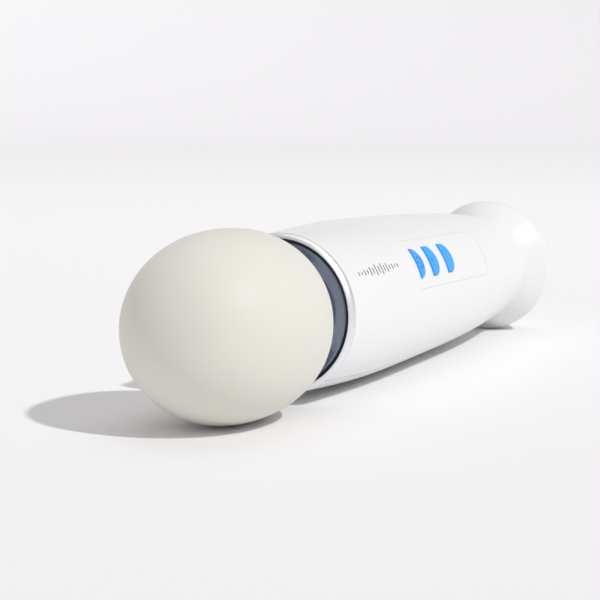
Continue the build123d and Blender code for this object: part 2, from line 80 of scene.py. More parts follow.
# Foot and inlet
FOOT_RADIUS, FOOT_RIM, FOOT_TAPER_FROM = 23.6, 205.2, 208.0
FOOT_END, FOOT_FACE_RADIUS, FOOT_WALL = 219.5, 18.6, 3.2
SPIGOT_LENGTH, SPIGOT_RADIUS, SPIGOT_BORE = 6.5, 15.4, 13.8
FOOT_HOLLOW = [(FOOT_END - FOOT_WALL, 16.8), (212.0, 19.2), (206.0, 20.6), (HANDLE_END + 2.5, SPIGOT_BORE)]
INLET_RADIUS, INLET_BORE, INLET_DEPTH = 4.2, 1.8, 10.0
INLET_STEP, INLET_BACK = 205.0, 203.5              # the barrel is thinner between these

# Key panel and keys
PANEL_FROM, PANEL_TO, PANEL_HALF_WIDTH, PANEL_CORNER = 76.0, 144.0, 8.0, 3.0
PANEL_THICK, PANEL_SET_IN, PANEL_GAP = 1.0, 0.06, 0.04
PANEL_CUTS = [88.8, 101.8, 116.0]                  # past each key
KEY_HALF_WIDTH, KEY_PROUD, KEY_GAP = 4.75, 0.35, 0.2
KEY_THICK, KEY_ROUND = 4.0, 0.28
# flat edge, length of the straight sides, bulge of the curved edge
KEYS = {"power": (80.7, 0.0, 5.0), "mode": (91.5, 3.3, 3.5), "speed": (105.2, 3.4, 3.6)}

# Marks
MARK_LIFT, KEY_MARK_THICK, PRINT_THICK = 0.02, 0.06, 0.04
POWER_SIGN_AT, POWER_SIGN_RADIUS, POWER_SIGN_LINE, POWER_SIGN_GAP = 83.1, 1.75, 0.42, 38
MODE_DOT_AT, MODE_DOT_RADIUS, MODE_DOT_LINE = 93.6, 0.28, 0.6
STROKES, STROKES_FROM, STROKES_TO, STROKES_ACROSS = 15, 40.5, 66.5, 0.6
STROKE_REACH, STROKE_WIDTH = 1.8, 0.5              # reach is half the tallest stroke's length

# Room, in metres and degrees
FLOOR_RADIUS, BACKDROP_BEND, BACKDROP_SLOPE, SLOPE_LENGTH = 2.2, 1.4, 42.0, 1.6
BACKDROP_DROP = 0.0001           # the floor lies this far below the wand, out of its faces
BACKDROP_NEAR, BACKDROP_FAR = 0.4, 2.4             # its white grows lighter between these
SUN_AZIMUTH, SUN_ELEVATION, SUN_WIDTH = -100.8, 44.7, 2.2
OVERHEAD_AZIMUTH, OVERHEAD_ELEVATION, OVERHEAD_DISTANCE, OVERHEAD_SIZE = 10.0, 72.0, 1.6, 1.4

# Camera, in millimetres and degrees. Its place is measured from the spot on the floor below
# the head's centre: before the nose and on the key side. It is turned by its yaw from
# square across the wand towards the foot, and it looks down by its pitch.
CAMERA_ALONG, CAMERA_ASIDE, CAMERA_HEIGHT = -404.6, -214.0, 88.79
CAMERA_YAW, CAMERA_PITCH = 64.52, 6.95
CAMERA_LENS, CAMERA_SENSOR = 104.424, 36.0


# ---- the wand's own frame --------------------------------------------------------------
# X runs along the wand from the centre of the head, Z points out of the key panel.
# Pieces are drawn there in millimetres, and place() brings them into the row frame.

def joint(name):
    return next(j for j in frame["joints"] if j["name"] == name)


ALONG = Vector(joint("weight_spin")["axis"]).normalized()
OUT = -Vector(joint("power_press")["axis"]).normalized()
ACROSS = OUT.cross(ALONG).normalized()
HEAD_AT = Vector(joint("weight_spin")["pos_m"])
PIVOT_AT = (Vector(joint("neck_tilt")["pos_m"]) - HEAD_AT).dot(ALONG) / MM


def place(x, y, z):
    """A point of the wand's own frame in the row frame, in metres."""
    return HEAD_AT + (ALONG * x + ACROSS * y + OUT * z) * MM


def unplaced(point):
    """A point of the row frame in the wand's own frame, in millimetres."""
    away = (Vector(point) - HEAD_AT) / MM
    return Vector((away.dot(ALONG), away.dot(ACROSS), away.dot(OUT)))


# ---- curves ----------------------------------------------------------------------------

def spline_through(points):
    """A smooth radius as a function of the place along the wand: a natural cubic spline."""
    xs, ys = zip(*points)
    n = len(points)
    gaps = [xs[i + 1] - xs[i] for i in range(n - 1)]
    slopes = [(ys[i + 1] - ys[i]) / gaps[i] for i in range(n - 1)]
    bends = [0.0] * n
    for _ in range(200):             # far more rounds than it takes to settle
        for i in range(1, n - 1):
            pull = 6 * (slopes[i] - slopes[i - 1]) - gaps[i - 1] * bends[i - 1] - gaps[i] * bends[i + 1]
            bends[i] = pull / (2 * (gaps[i - 1] + gaps[i]))

    def radius(x):
        i = max(0, min(n - 2, sum(x > k for k in xs[1:-1])))
        a, b = xs[i + 1] - x, x - xs[i]
        cubic = (bends[i] * a ** 3 + bends[i + 1] * b ** 3) / (6 * gaps[i])
        line = (ys[i] / gaps[i] - bends[i] * gaps[i] / 6) * a
        return cubic + line + (ys[i + 1] / gaps[i] - bends[i + 1] * gaps[i] / 6) * b

    return radius


handle_radius = spline_through(HANDLE_OUTLINE)


def on_handle(x, y, lift=0.0, side=1):
    """The point of the handle's surface over (x, y), raised by lift; side 1 is the key side."""
    radius = handle_radius(x)
    angle = math.asin(max(-1.0, min(1.0, y / radius)))
    return x, (radius + lift) * math.sin(angle), side * (radius + lift) * math.cos(angle)


def arc(centre, radius, start, end, steps):
    """Points of a circular arc in the outline plane; angles in degrees from +X towards +radius."""
    turns = [math.radians(start + (end - start) * i / steps) for i in range(steps + 1)]
    return [(centre[0] + radius * math.cos(t), centre[1] + radius * math.sin(t)) for t in turns]


def bowed(start, middle, end, steps):
    """Points of a smooth curve from start to end that passes through middle."""
    control = [2 * m - (s + e) / 2 for s, m, e in zip(start, middle, end)]
    points = []
    for i in range(steps + 1):
        t = i / steps
        points.append(tuple((1 - t) ** 2 * s + 2 * t * (1 - t) * c + t ** 2 * e
                            for s, c, e in zip(start, control, end)))
    return points


def rounded(points, radii, steps=6):
    """An outline of straight runs whose inner corners are rounded."""
    path = [Vector(points[0])]
    for before, corner, after, radius in zip(points, points[1:], points[2:], radii):
        corner = Vector(corner)
        back, ahead = (Vector(before) - corner), (Vector(after) - corner)
        half = back.angle(ahead) / 2
        room = min(back.length, ahead.length) * 0.49
        reach = min(radius / math.tan(half), room)
        start, end = corner + back.normalized() * reach, corner + ahead.normalized() * reach
        for i in range(steps + 1):
            t = i / steps
            path.append(start * (1 - t) ** 2 + corner * 2 * t * (1 - t) + end * t ** 2)
    path.append(Vector(points[-1]))
    return [tuple(p) for p in path]


# ---- meshes ----------------------------------------------------------------------------

WELD = 0.0005                    # vertices this near to each other become one
WELD_PATCHES = 0.003             # the same, where patches meet


def new_object(name, verts, faces):
    mesh = bpy.data.meshes.new(name)
    mesh.from_pydata([place(*v) for v in verts], [], faces)
    mesh.validate()
    mesh.update()
    mesh.polygons.foreach_set("use_smooth", [True] * len(mesh.polygons))
    piece = bpy.data.objects.new(name, mesh)
    bpy.context.scene.collection.objects.link(piece)
    return piece


def weld(piece, distance):
    """Joins vertices that lie on each other and turns all faces the same way, outwards where
    the piece is closed."""
    bm = bmesh.new()
    bm.from_mesh(piece.data)
    bmesh.ops.remove_doubles(bm, verts=bm.verts, dist=distance * MM)
    bmesh.ops.recalc_face_normals(bm, faces=bm.faces)
    bm.to_mesh(piece.data)
    bm.free()
    return piece


def modified(piece, kind, **settings):
    """Adds a modifier and applies it at once."""
    modifier = piece.modifiers.new(kind.lower(), kind)
    for key, value in settings.items():
        setattr(modifier, key, value)
    graph = bpy.context.evaluated_depsgraph_get()
    mesh = bpy.data.meshes.new_from_object(piece.evaluated_get(graph))
    piece.modifiers.clear()
    old, piece.data = piece.data, mesh
    mesh.name = old.name
    bpy.data.meshes.remove(old)


def sharpen(piece, degrees=35):
    """Smooth shading that stops at real corners."""
    piece.data.polygons.foreach_set("use_smooth", [True] * len(piece.data.polygons))
    piece.data.set_sharp_from_angle(angle=math.radians(degrees))
    return piece


def joined(parts):
    """The vertices and faces of several parts as those of one."""
    verts, faces = [], []
    for more_verts, more_faces in parts:
        start = len(verts)
        verts += more_verts
        faces += [tuple(start + i for i in face) for face in more_faces]
    return verts, faces


def solid_object(name, parts):
    """One object of closed parts."""
    return sharpen(weld(new_object(name, *joined(parts)), WELD))


def ring_faces(rings, count, closed=False):
    """Quads between each ring of points and the next; closed joins the last to the first."""
    faces = []
    for k in range(rings if closed else rings - 1):
        near, far = k * count, (k + 1) % rings * count
        for i in range(count):
            n = (i + 1) % count
            faces.append((near + i, near + n, far + n, far + i))
    return faces


def lathe(name, outline, steps=192, closed=True):
    """A solid of revolution about the wand's axis; outline is a ring of (along, radius), or
    where closed is false, a line from one point of the axis to another."""
    verts, faces, rings = [], [], []
    count = len(outline)
    for x, r in outline:
        if r < 1e-6:
            rings.append([len(verts)])
            verts.append((x, 0, 0))
            continue
        rings.append(list(range(len(verts), len(verts) + steps)))
        for i in range(steps):
            t = 2 * math.pi * i / steps
            verts.append((x, r * math.sin(t), r * math.cos(t)))
    for i in range(count if closed else count - 1):
        a, b = rings[i], rings[(i + 1) % count]
        for k in range(steps):
            n = (k + 1) % steps
            if len(a) == 1 and len(b) == 1:
                continue
            if len(a) == 1:
                faces.append((a[0], b[k], b[n]))
            elif len(b) == 1:
                faces.append((a[k], b[0], a[n]))
            else:
                faces.append((a[k], b[k], b[n], a[n]))
    return solid_object(name, [(verts, faces)])


# ---- materials -------------------------------------------------------------------------

class Shader:
    """A principled material and short ways to wire patterns into it."""

    def __init__(self, name, **sockets):
        self.material = bpy.data.materials.new(name)
        self.material.use_nodes = True
        self.nodes = self.material.node_tree.nodes
        self.links = self.material.node_tree.links
        self.main = self.nodes["Principled BSDF"]
        for key, value in sockets.items():
            self.main.inputs[key.replace("_", " ")].default_value = value

    def node(self, kind, **inputs):
        made = self.nodes.new(kind)
        for key, value in inputs.items():
            made.inputs[key.replace("_", " ")].default_value = value
        return made

    def place(self):
        return self.node("ShaderNodeTexCoord").outputs["Object"]

    def noise(self, scale, detail=3.0, roughness=0.5):
        made = self.node("ShaderNodeTexNoise", Scale=scale, Detail=detail, Roughness=roughness)
        self.links.new(self.place(), made.inputs["Vector"])
        return made.outputs["Fac"]

    def spread(self, source, low, high, source_low=0.3, source_high=0.7):
        """Stretches the source's range to low and high; noise keeps mostly within 0.3 to 0.7."""
        made = self.node("ShaderNodeMapRange", From_Min=source_low, From_Max=source_high, To_Min=low,
                         To_Max=high)
        self.links.new(source, made.inputs["Value"])
        return made.outputs["Result"]

    def between(self, source, first, second):
        """A colour that goes from first to second as the source goes from 0.3 to 0.7."""
        made = self.node("ShaderNodeValToRGB")
        for stop, colour, position in zip(made.color_ramp.elements, (first, second), (0.3, 0.7)):
            stop.color = (*colour, 1)
            stop.position = position
        self.links.new(source, made.inputs["Fac"])
        return made.outputs["Color"]

    def colour(self, source):
        self.links.new(source, self.main.inputs["Base Color"])

    def roughness(self, source):
        self.links.new(source, self.main.inputs["Roughness"])

    def bump(self, source, strength, distance):
        made = self.node("ShaderNodeBump", Strength=strength, Distance=distance)
        self.links.new(source, made.inputs["Height"])
        self.links.new(made.outputs["Normal"], self.main.inputs["Normal"])


def silicone(name, tint, shade):
    """Satin moulded silicone: a fine matt skin, barely uneven in colour."""
    s = Shader(name, Subsurface_Weight=0.12, Subsurface_Scale=0.004, Subsurface_Radius=(1.0, 0.75, 0.5),
               Specular_IOR_Level=0.35, IOR=1.41, Sheen_Weight=0.08, Sheen_Roughness=0.5)
    s.colour(s.between(s.noise(38.0, 4.0), tint, shade))
    s.roughness(s.spread(s.noise(220.0, 3.0), 0.47, 0.56))
    s.bump(s.noise(5200.0, 2.0, 0.6), 0.10, 0.00004)
    return s.material


def gloss_plastic(name, tint, shade, rough=(0.30, 0.36)):
    """Injection-moulded gloss plastic: faint flow in the colour and a slightly wavy skin."""
    s = Shader(name, IOR=1.5, Coat_Weight=0.25, Coat_Roughness=0.24)
    s.colour(s.between(s.noise(14.0, 3.0), tint, shade))
    s.roughness(s.spread(s.noise(90.0, 4.0), *rough))
    s.bump(s.noise(160.0, 2.0, 0.4), 0.05, 0.00005)
    return s.material


def plated_metal(name, tint, shade, rough=(0.03, 0.07)):
    """Plated trim with the faintest haze, a mirror unless rough says otherwise."""
    s = Shader(name, Metallic=1.0)
    s.colour(s.between(s.noise(60.0, 2.0), tint, shade))
    s.roughness(s.spread(s.noise(700.0, 3.0), *rough))
    s.bump(s.noise(240.0, 2.0, 0.4), 0.02, 0.00002)
    return s.material


def plain_metal(name, tint, shade):
    """Bare machined or stamped metal."""
    s = Shader(name, Metallic=1.0)
    s.colour(s.between(s.noise(300.0, 3.0), tint, shade))
    s.roughness(s.spread(s.noise(900.0, 4.0), 0.22, 0.38))
    s.bump(s.noise(2500.0, 3.0), 0.12, 0.00002)
    return s.material


def matt(name, tint, shade, rough=(0.5, 0.65), grain=3000.0):
    """Fine-grained matt plastic, rubber or lacquer."""
    s = Shader(name, Specular_IOR_Level=0.4)
    s.colour(s.between(s.noise(60.0, 4.0), tint, shade))
    s.roughness(s.spread(s.noise(400.0, 4.0), *rough))
    s.bump(s.noise(grain, 3.0, 0.6), 0.2, 0.00005)
    return s.material


# kind, the two colours that it varies between, and what isn't as usual for the kind
LOOKS = {
    "head_silicone": (silicone, (0.765, 0.752, 0.685), (0.750, 0.737, 0.670), {}),
    "neck_rubber": (matt, (0.48, 0.54, 0.66), (0.45, 0.51, 0.63), {"rough": (0.45, 0.55)}),
    "gloss_shell": (gloss_plastic, (0.870, 0.868, 0.872), (0.855, 0.852, 0.858), {}),
    "panel_white": (gloss_plastic, (0.865, 0.865, 0.875), (0.850, 0.850, 0.862), {"rough": (0.34, 0.42)}),
    "key_blue": (matt, (0.036, 0.400, 1.0), (0.030, 0.375, 0.970), {"rough": (0.35, 0.45)}),
    "chrome_trim": (plated_metal, (0.93, 0.94, 0.98), (0.91, 0.92, 0.96), {}),
    "chrome_band": (plated_metal, (0.88, 0.89, 0.93), (0.86, 0.87, 0.91), {"rough": (0.42, 0.48)}),
    # black_seal is near-black: painted shade for the shaded gap between the chrome band and the mirror
    "black_seal": (matt, (0.010, 0.010, 0.011), (0.016, 0.016, 0.017), {"grain": 4000.0}),
    "inner_plastic": (matt, (0.62, 0.61, 0.57), (0.58, 0.57, 0.53), {}),
    "steel": (plain_metal, (0.56, 0.56, 0.57), (0.48, 0.48, 0.49), {}),
    "soft_grey": (matt, (0.08, 0.08, 0.085), (0.06, 0.06, 0.065), {"rough": (0.6, 0.75)}),
    "board_green": (matt, (0.02, 0.16, 0.06), (0.015, 0.13, 0.05), {"rough": (0.3, 0.4), "grain": 900.0}),
    "black_plastic": (matt, (0.018, 0.018, 0.019), (0.026, 0.026, 0.027), {"rough": (0.35, 0.5)}),
    "cell_wrap": (gloss_plastic, (0.03, 0.16, 0.36), (0.025, 0.14, 0.32), {}),
    "copper": (plain_metal, (0.72, 0.42, 0.22), (0.62, 0.36, 0.19), {}),
    "wire_red": (matt, (0.35, 0.02, 0.02), (0.30, 0.015, 0.015), {"rough": (0.4, 0.5), "grain": 1500.0}),
    "mark_grey": (matt, (0.10, 0.10, 0.105), (0.13, 0.13, 0.135), {"rough": (0.75, 0.85)}),
    "mark_blue": (matt, (0.008, 0.190, 0.680), (0.006, 0.175, 0.640), {"rough": (0.35, 0.45)}),
}
MATERIALS = {name: kind(name, tint, shade, **unusual) for name, (kind, tint, shade, unusual) in LOOKS.items()}


def finished(piece, body, slot, *nodes, material=None):
    """Gives a piece its material, the slot's own unless material names another, puts it on its body and hides the
    CAD nodes that it stands for.
    """
    piece.data.materials.clear()
    piece.data.materials.append(MATERIALS[material or slot])
    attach(piece, body)
    if nodes:
        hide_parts(*nodes)
    return piece


def dress_cad_nodes():
    """Every CAD node keeps its shape and gets the detailed material of its slot."""
    for row in frame["record"]["subparts"]:
        piece = sharpen(frame["nodes"][row["node"]])
        piece.data.materials.clear()
        piece.data.materials.append(MATERIALS[row["material_slot"]])


# ---- head and neck ---------------------------------------------------------------------

def egg_radius(x, shrink=0.0):
    """The head's radius at x; shrink is how far under its skin."""
    length, power = (HEAD_FRONT, HEAD_FRONT_POWER) if x < 0 else (HEAD_REAR, HEAD_REAR_POWER)
    share = min(1.0, abs(x) / (length - shrink))
    return (HEAD_RADIUS - shrink) * (1 - share ** power) ** (1 / power)


def egg_outline(steps=56):
    """The head's outline from the nose to where the lip starts at the neck."""
    points = [(-HEAD_FRONT, 0.0)]
    for i in range(1, steps + 1):
        angle = math.pi / 2 * i / steps
        points.append((-HEAD_FRONT * math.cos(angle) ** (2 / HEAD_FRONT_POWER),
                       HEAD_RADIUS * math.sin(angle) ** (2 / HEAD_FRONT_POWER)))
    for i in range(1, steps + 1):
        x = (HEAD_END - COVER_LIP) * math.sin(math.pi / 2 * i / steps)
        points.append((x, egg_radius(x)))
    return points


def head_cover():
    """The soft head: one moulded skin that rolls in to the neck at the back."""
    skin, throat = egg_outline(), HEAD_END - 3
    lip = [skin[-1], (HEAD_END, egg_radius(HEAD_END - 0.35)), (HEAD_END, NECK_BORE + 0.05),
           (throat, NECK_BORE)]
    hollow = [(throat - 2, NECK_BORE + 2)]
    hollow += [(x, egg_radius(x, COVER_WALL)) for x in (20, 15, 8, 0, -8, -16, -22, -26, -28.5)]
    hollow += [(COVER_WALL - HEAD_FRONT, 0.0)]
    outline = skin + rounded(lip, [COVER_LIP, 0.3])[1:] + hollow
    piece = lathe("head_skin", outline, steps=256, closed=False)
    return finished(piece, "head", "head_silicone", "head_cover")


def neck_boot():
    """Ribbed rubber neck that ends in a ball inside the collar."""
    front, inner_front, back = HEAD_END + 0.05, PIVOT_AT - 9.5, PIVOT_AT + 7
    outline = [(front, NECK_BORE), (front, NECK_RADIUS), (30.0, NECK_RADIUS)]
    for middle in NECK_GROOVES:
        for i in range(9):
            t = i / 8
            outline.append((middle + NECK_GROOVE_WIDTH * (t - 0.5),
                            NECK_RADIUS - NECK_GROOVE_DEPTH * math.sin(math.pi * t) ** 2))
    start = math.degrees(math.acos((PIVOT_AT - NECK_MEETS_BALL) / BALL_RADIUS))
    outline += arc((PIVOT_AT, 0), BALL_RADIUS, 180 - start, 61, 24)
    outline += [(back, BALL_BORE), (inner_front, BALL_BORE), (inner_front, NECK_BORE)]
    return finished(lathe("neck_boot_ribbed", outline, steps=160), "head", "neck_rubber", "neck_boot")


# ---- collar ----------------------------------------------------------------------------

def collar_ring():
    """The metal ring at the handle's rim: a low crown whose front turns in to the seal."""
    crown_start = (HANDLE_FRONT - 0.12, COLLAR_RADIUS - 0.05)
    crown_middle = (COLLAR_FRONT + 0.9, COLLAR_RADIUS - 0.4)
    crown_end = (COLLAR_FRONT + 0.02, COLLAR_RADIUS - 1.25)
    front = [crown_end, (COLLAR_FRONT + 0.1, COLLAR_INNER + 0.02), (COLLAR_FRONT + 1.0, COLLAR_INNER)]
    outline = [(HANDLE_FRONT, COLLAR_INNER), (HANDLE_FRONT, COLLAR_RADIUS - 0.25)]
    outline += bowed(crown_start, crown_middle, crown_end, 19) + rounded(front, [0.3])[1:]
    piece = lathe("collar_band", outline, steps=256)
    return finished(piece, "handle", "chrome_trim", "collar_ring", material="chrome_band")


def collar_gasket():
    """A ring inside the band, with a low ridge in front, in near-black: painted shade for the shaded gap between
    the band and the mirror.
    """
    inner, ridge = COLLAR_INNER - GASKET_WIDTH, COLLAR_FRONT + 0.7
    outline = [(HANDLE_FRONT, inner), (HANDLE_FRONT, COLLAR_INNER), (ridge + 0.2, COLLAR_INNER),
               (ridge, (inner + COLLAR_INNER) / 2), (ridge + 0.2, inner)]
    return finished(lathe("collar_seal", outline), "handle", "black_seal", "collar_gasket")


def collar_dish():
    """Hollow mirror: a smooth curve from the seal in to the neck's throat."""
    rim = COLLAR_INNER - GASKET_WIDTH
    bowl = bowed((COLLAR_FRONT + 0.95, rim - 0.05), (COLLAR_FRONT + 3.2, rim - 2.8),
                 (DISH_DEPTH, DISH_OPENING + 0.25), 24)
    throat_end, shoulder = DISH_DEPTH + 2.4, COLLAR_FRONT + 4.6
    throat = [(DISH_DEPTH + 0.3, DISH_OPENING), (throat_end, DISH_OPENING), (throat_end, DISH_OPENING + 1.3)]
    back = [(DISH_DEPTH + 0.6, DISH_OPENING + 2.0), (shoulder, rim - 2 * DISH_WALL),
            (shoulder, rim - DISH_WALL), (DISH_END, rim - DISH_WALL), (DISH_END, rim - 0.02),
            (COLLAR_FRONT + 1.1, rim - 0.02)]
    piece = lathe("collar_mirror", bowl + throat + back, steps=256)
    return finished(piece, "handle", "chrome_trim", "collar_dish")


# ---- sheets that follow the handle -----------------------------------------------------
# A patch has four sides, in order: head end, far side, foot end, near side. Each is a
# function of a number from 0 to 1. Its counts are the quads along and across, and its
# surface turns flat points into points of the wand's own frame.

def straight(start, end):
    """One side of a patch: a straight run."""
    return lambda t: (start[0] + (end[0] - start[0]) * t, start[1] + (end[1] - start[1]) * t)


def box_sides(x0, x1, y0, y1):
    """The sides of an oblong."""
    corners = [(x0, y0), (x0, y1), (x1, y1), (x1, y0)]
    return [straight(corners[i], corners[(i + 1) % 4]) for i in range(4)]


def oblong_sides(x0, x1, half, corner, ends=(True, True)):
    """An oblong with round corners at the ends that are true; the two sides that meet at a
    corner share it."""
    def point(side, t):
        x, y = side(t)
        if not ends[0 if x < (x0 + x1) / 2 else 1]:
            return x, y
        cx = min(max(x, x0 + corner), x1 - corner)
        cy = min(max(y, -half + corner), half - corner)
        away = Vector((x - cx, y - cy))
        if min(abs(away.x), abs(away.y)) < 1e-9:
            return x, y
        away = away.normalized() * corner
        return cx + away.x, cy + away.y
    return [lambda t, side=side: point(side, t) for side in box_sides(x0, x1, -half, half)]


def key_sides(flat, side, bulge, grow):
    """A key's outline: flat edge, straight side, curved edge, straight side. Each straight
    side also takes in one end of the curve, from the angle spread down to inner."""
    half = KEY_HALF_WIDTH + grow
    x0, turn = flat - grow, flat + side + (grow if side else 0.0)
    tip = flat + side + bulge + grow
    depth = tip - turn
    radius = (half ** 2 + depth ** 2) / (2 * depth)
    spread = math.atan2(half, radius - depth)
    inner = spread * (0.70 if side else 0.55)
    run = turn - x0
    stretch = run / (run + radius * (spread - inner))

    def curved(t, start, end):
        angle = start + (end - start) * t
        return tip - radius + radius * math.cos(angle), radius * math.sin(angle)

    def up_side(t):
        if t < stretch:
            return x0 + run * t / stretch, half
        return curved((t - stretch) / (1 - stretch), spread, inner)

    return [
        straight((x0, -half), (x0, half)),
        up_side,
        lambda t: curved(t, inner, -inner),
        lambda t: (up_side(1 - t)[0], -up_side(1 - t)[1]),
    ]


def circle_sides(x, y, radius):
    """The four quarters of a circle."""
    def quarter(start):
        def point(t):
            angle = math.radians(start) - math.pi / 2 * t
            return x + radius * math.cos(angle), y + radius * math.sin(angle)
        return point
    return [quarter(start) for start in (225, 135, 45, -45)]


def ring_of(sides, counts):
    """Points round a loop of four sides, one side after another without repeats."""
    points = []
    for side, count in zip(sides, (counts[1], counts[0], counts[1], counts[0])):
        points += [side(i / count) for i in range(count)]
    return points


def holed_patch(outer, hole, counts, rings, surface):
    """Quads between an outer loop and a hole, all of them on the surface, smaller near the hole."""
    far, near = ring_of(outer, counts), ring_of(hole, counts)
    verts, crowding = [], 1.6
    for k in range(rings + 1):
        t = 1 - (1 - k / rings) ** crowding
        verts += [surface(a[0] + (b[0] - a[0]) * t, a[1] + (b[1] - a[1]) * t) for a, b in zip(far, near)]
    return verts, ring_faces(rings + 1, len(far))


def full_patch(sides, counts, surface):
    """A filled patch between four sides (a Coons patch)."""
    head, far, foot, near = sides
    nx, ny = counts
    corner = [head(0), head(1), foot(0), foot(1)]
    verts, faces = [], []
    for i in range(nx + 1):
        u = i / nx
        for k in range(ny + 1):
            v = k / ny
            point = []
            for c in (0, 1):
                along = (1 - v) * near(1 - u)[c] + v * far(u)[c]
                across = (1 - u) * head(v)[c] + u * foot(1 - v)[c]
                both = ((1 - u) * (1 - v) * corner[0][c] + (1 - u) * v * corner[1][c]
                        + u * v * corner[2][c] + u * (1 - v) * corner[3][c])
                point.append(along + across - both)
            verts.append(surface(*point))
    for i in range(nx):
        for k in range(ny):
            a = i * (ny + 1) + k
            faces.append((a, a + 1, a + ny + 2, a + ny + 1))
    return verts, faces


def outward(piece):
    """Turns the skin's faces so that they look away from the wand's axis."""
    face = piece.data.polygons[len(piece.data.polygons) // 2]
    from_axis = face.center - HEAD_AT
    from_axis -= ALONG * from_axis.dot(ALONG)
    if face.normal.dot(from_axis) < 0:
        piece.data.flip_normals()


def groove_edges(piece):
    """Marks the outer edges along the parting line, so that they are rounded into a groove."""
    mesh, slack, skin = piece.data, 0.05, 0.1
    places = [unplaced(v.co) for v in mesh.vertices]
    weights = mesh.attributes.new("bevel_weight_edge", "FLOAT", "EDGE")
    for edge in mesh.edges:
        a, b = (places[i] for i in edge.vertices)
        at_parting = max(abs(a.z - PARTING), abs(b.z - PARTING)) < SEAM + slack
        outside = min(math.hypot(p.y, p.z) - handle_radius(p.x) for p in (a, b)) > -skin
        if at_parting and outside and abs(a.x - b.x) > slack:
            weights.data[edge.index].value = 1.0


def sheet_object(name, patches, thick, round_off, groove=0.0):
    """Joins patches into one skin, thickens it inwards and rounds its edges."""
    piece = weld(new_object(name, *joined(patches)), WELD_PATCHES)
    outward(piece)
    modified(piece, "SOLIDIFY", thickness=thick * MM, offset=-1.0, use_even_offset=False)
    if groove:
        groove_edges(piece)
        modified(piece, "BEVEL", width=groove * MM, segments=4, limit_method="WEIGHT")
    modified(piece, "BEVEL", width=round_off * MM, segments=3, limit_method="ANGLE",
             angle_limit=math.radians(50))
    return sharpen(piece, 40)


# ---- handle ----------------------------------------------------------------------------

def by_angle(side):
    """A surface in (along, share), where share runs from -1 at one parting edge to 1 at the other."""
    def surface(x, share):
        radius = handle_radius(x)
        t = share * math.acos((side * PARTING + SEAM) / radius)
        return x, radius * math.sin(t), side * radius * math.cos(t)
    return surface


def as_share(sides, side=1):
    """Sides given in (along, across) turned into (along, share) on the shell of that side."""
    def turned(run):
        def point(t):
            x, y = run(t)
            radius = handle_radius(x)
            return x, math.asin(y / radius) / math.acos((side * PARTING + SEAM) / radius)
        return point
    return [turned(run) for run in sides]


def front_shell():
    """The key side of the handle, with the opening for the panel."""
    surface = by_angle(1)
    x0, x1 = PANEL_FROM - HOLE_MARGIN, PANEL_TO + HOLE_MARGIN
    opening = oblong_sides(PANEL_FROM, PANEL_TO, PANEL_HALF_WIDTH, PANEL_CORNER)
    patches = [
        full_patch(box_sides(SHELL_FRONT, x0, -1, 1), (24, 72), surface),
        holed_patch(box_sides(x0, x1, -1, 1), as_share(opening), (96, 72), 26, surface),
        full_patch(box_sides(x1, SHELL_END, -1, 1), (30, 72), surface),
    ]
    piece = sheet_object("handle_front", patches, SHELL_WALL, EDGE_ROUND, GROOVE)
    return finished(piece, "handle", "gloss_shell", "front_shell")


def back_shell():
    """The other side of the handle, in bands, with a hole for each screw well."""
    surface = by_angle(-1)
    round_screws = [x + beside for x, _ in SHELL_SCREWS for beside in (-HOLE_MARGIN, HOLE_MARGIN)]
    bands = [SHELL_FRONT, *round_screws, SHELL_END]
    patches = []
    for x0, x1, count in zip(bands, bands[1:], (24, 20, 56, 20, 10)):
        screw = next(((x, y) for x, y in SHELL_SCREWS if x0 < x < x1), None)
        for low, high in ((-1, 0), (0, 1)):
            outer = box_sides(x0, x1, low, high)
            if screw is None:
                patches.append(full_patch(outer, (count, 36), surface))
                continue
            across = screw[1] if high > 0 else -screw[1]
            hole = as_share(circle_sides(screw[0], across, SCREW_WELL_RADIUS), -1)
            patches.append(holed_patch(outer, hole, (count, 36), 14, surface))
    piece = sheet_object("handle_back", patches, SHELL_WALL, EDGE_ROUND, GROOVE)
    return finished(piece, "handle", "gloss_shell", "back_shell")


def screw_well(x, y):
    """The walls and seat of one screw well; its mouth follows the back shell's skin."""
    wall, hole, seat = SCREW_WELL_RADIUS, SCREW_HOLE_RADIUS, -SCREW_SEAT
    outer_wall, underside = wall + 0.6, seat + 1.5
    mouth = None                     # instead of a height: just under the skin
    levels = [(wall, mouth), (wall, seat - 0.3), (wall - 0.3, seat), (hole, seat), (hole, underside),
              (outer_wall, underside), (outer_wall, mouth)]
    verts, steps = [], 48
    for radius, height in levels:
        for i in range(steps):
            t = 2 * math.pi * i / steps
            px, py = x + radius * math.cos(t), y + radius * math.sin(t)
            under_skin = on_handle(px, py, -0.4, side=-1)[2]
            verts.append((px, py, under_skin if height is mouth else height))
    return verts, ring_faces(len(levels), steps, closed=True)


def screw_wells():
    """The wells of all four shell screws."""
    wells = [screw_well(x, y) for x, across in SHELL_SCREWS for y in (-across, across)]
    return finished(solid_object("screw_wells", wells), "handle", "gloss_shell")


def base_cap():
    """The flared foot: one smooth turned form with a round-edged rim and the inlet's hole."""
    outer = [HANDLE_OUTLINE[-1], (FOOT_RIM - 0.6, FOOT_RADIUS + 0.04), (FOOT_TAPER_FROM, FOOT_RADIUS - 0.1),
             (FOOT_END, FOOT_FACE_RADIUS), (FOOT_END, INLET_RADIUS + 0.35)]
    outline = rounded(outer, [1.5, 6.0, 2.5], 16)
    outline += [(FOOT_END - 0.3, INLET_RADIUS + 0.05), (FOOT_END - FOOT_WALL, INLET_RADIUS + 0.05)]
    spigot_end = HANDLE_END - SPIGOT_LENGTH
    outline += FOOT_HOLLOW + [(spigot_end, SPIGOT_BORE), (spigot_end, SPIGOT_RADIUS)]
    outline += [(HANDLE_END - 0.1, SPIGOT_RADIUS), (HANDLE_END, SPIGOT_RADIUS + 0.5)]
    return finished(lathe("foot", outline, steps=256), "handle", "gloss_shell", "base_cap")


